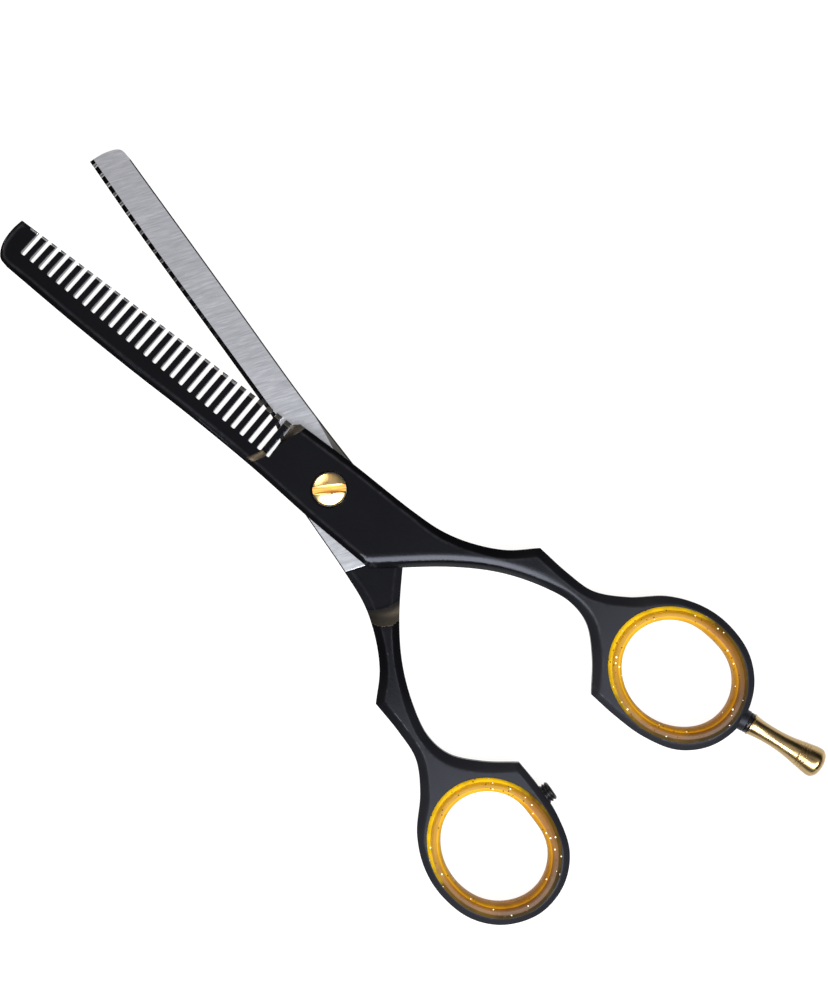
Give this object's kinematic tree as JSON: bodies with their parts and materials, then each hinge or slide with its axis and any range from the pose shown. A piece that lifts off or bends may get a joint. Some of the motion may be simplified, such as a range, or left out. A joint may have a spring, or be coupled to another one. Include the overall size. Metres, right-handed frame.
{
  "type": "thinning shears",
  "caption": "Offset thinning shears: a comb half over a plain half on a slotted tension screw, with ringed handles, soft ring inserts, a finger rest and a bumper.",
  "frame": {"origin": "on the pivot axis, at the screw's tail, level with the rear half's back face", "axes": "+X towards the blade tips, midway between the halves at rest; +Y towards the thumb ring; +Z along the pivot screw, towards its slotted head"},
  "size_m": [0.1833, 0.0763, 0.0069],
  "materials": {
    "black_coating": "satin black coating on forged steel",
    "plain_blade_steel": "fine brushed ride face; the shank and ring carry the same black coating as the comb half",
    "gold_screw": "polished gold plate",
    "gold_rest": "polished gold plate",
    "amber_rubber": "clear amber soft plastic with glitter",
    "black_rubber": "black, slightly glossy",
    "washer_steel": "plain",
    "white_nylon": "natural"
  },
  "bodies": {
    "comb_side": {"comb_half": "black_coating", "finger_insert": "amber_rubber", "pivot_bush": "white_nylon", "head_washer": "washer_steel"},
    "plain_side": {"plain_half": "plain_blade_steel", "thumb_insert": "amber_rubber", "bumper": "black_rubber", "glide_washer": "white_nylon"},
    "screw": {"pivot_screw": "gold_screw"},
    "rest": {"finger_rest": "gold_rest", "rest_stud": "washer_steel", "rest_washer": "black_rubber"}
  },
  "joints": [
    {"name": "blade_pivot", "type": "hinge", "parent": "comb_side", "child": "plain_side", "pos_m": [0, 0, 0.0031], "axis": [0, 0, -1], "range_deg": [-15, 130]},
    {"name": "tension_screw", "type": "hinge", "parent": "plain_side", "child": "screw", "pos_m": [0, 0, 0.0031], "axis": [0, 0, -1], "range_deg": [-90, 90]},
    {"name": "rest_turn", "type": "hinge", "parent": "comb_side", "child": "rest", "pos_m": [-0.08882, -0.02864, 0.0031], "axis": [-0.9603, -0.279, 0], "continuous": true}
  ]
}
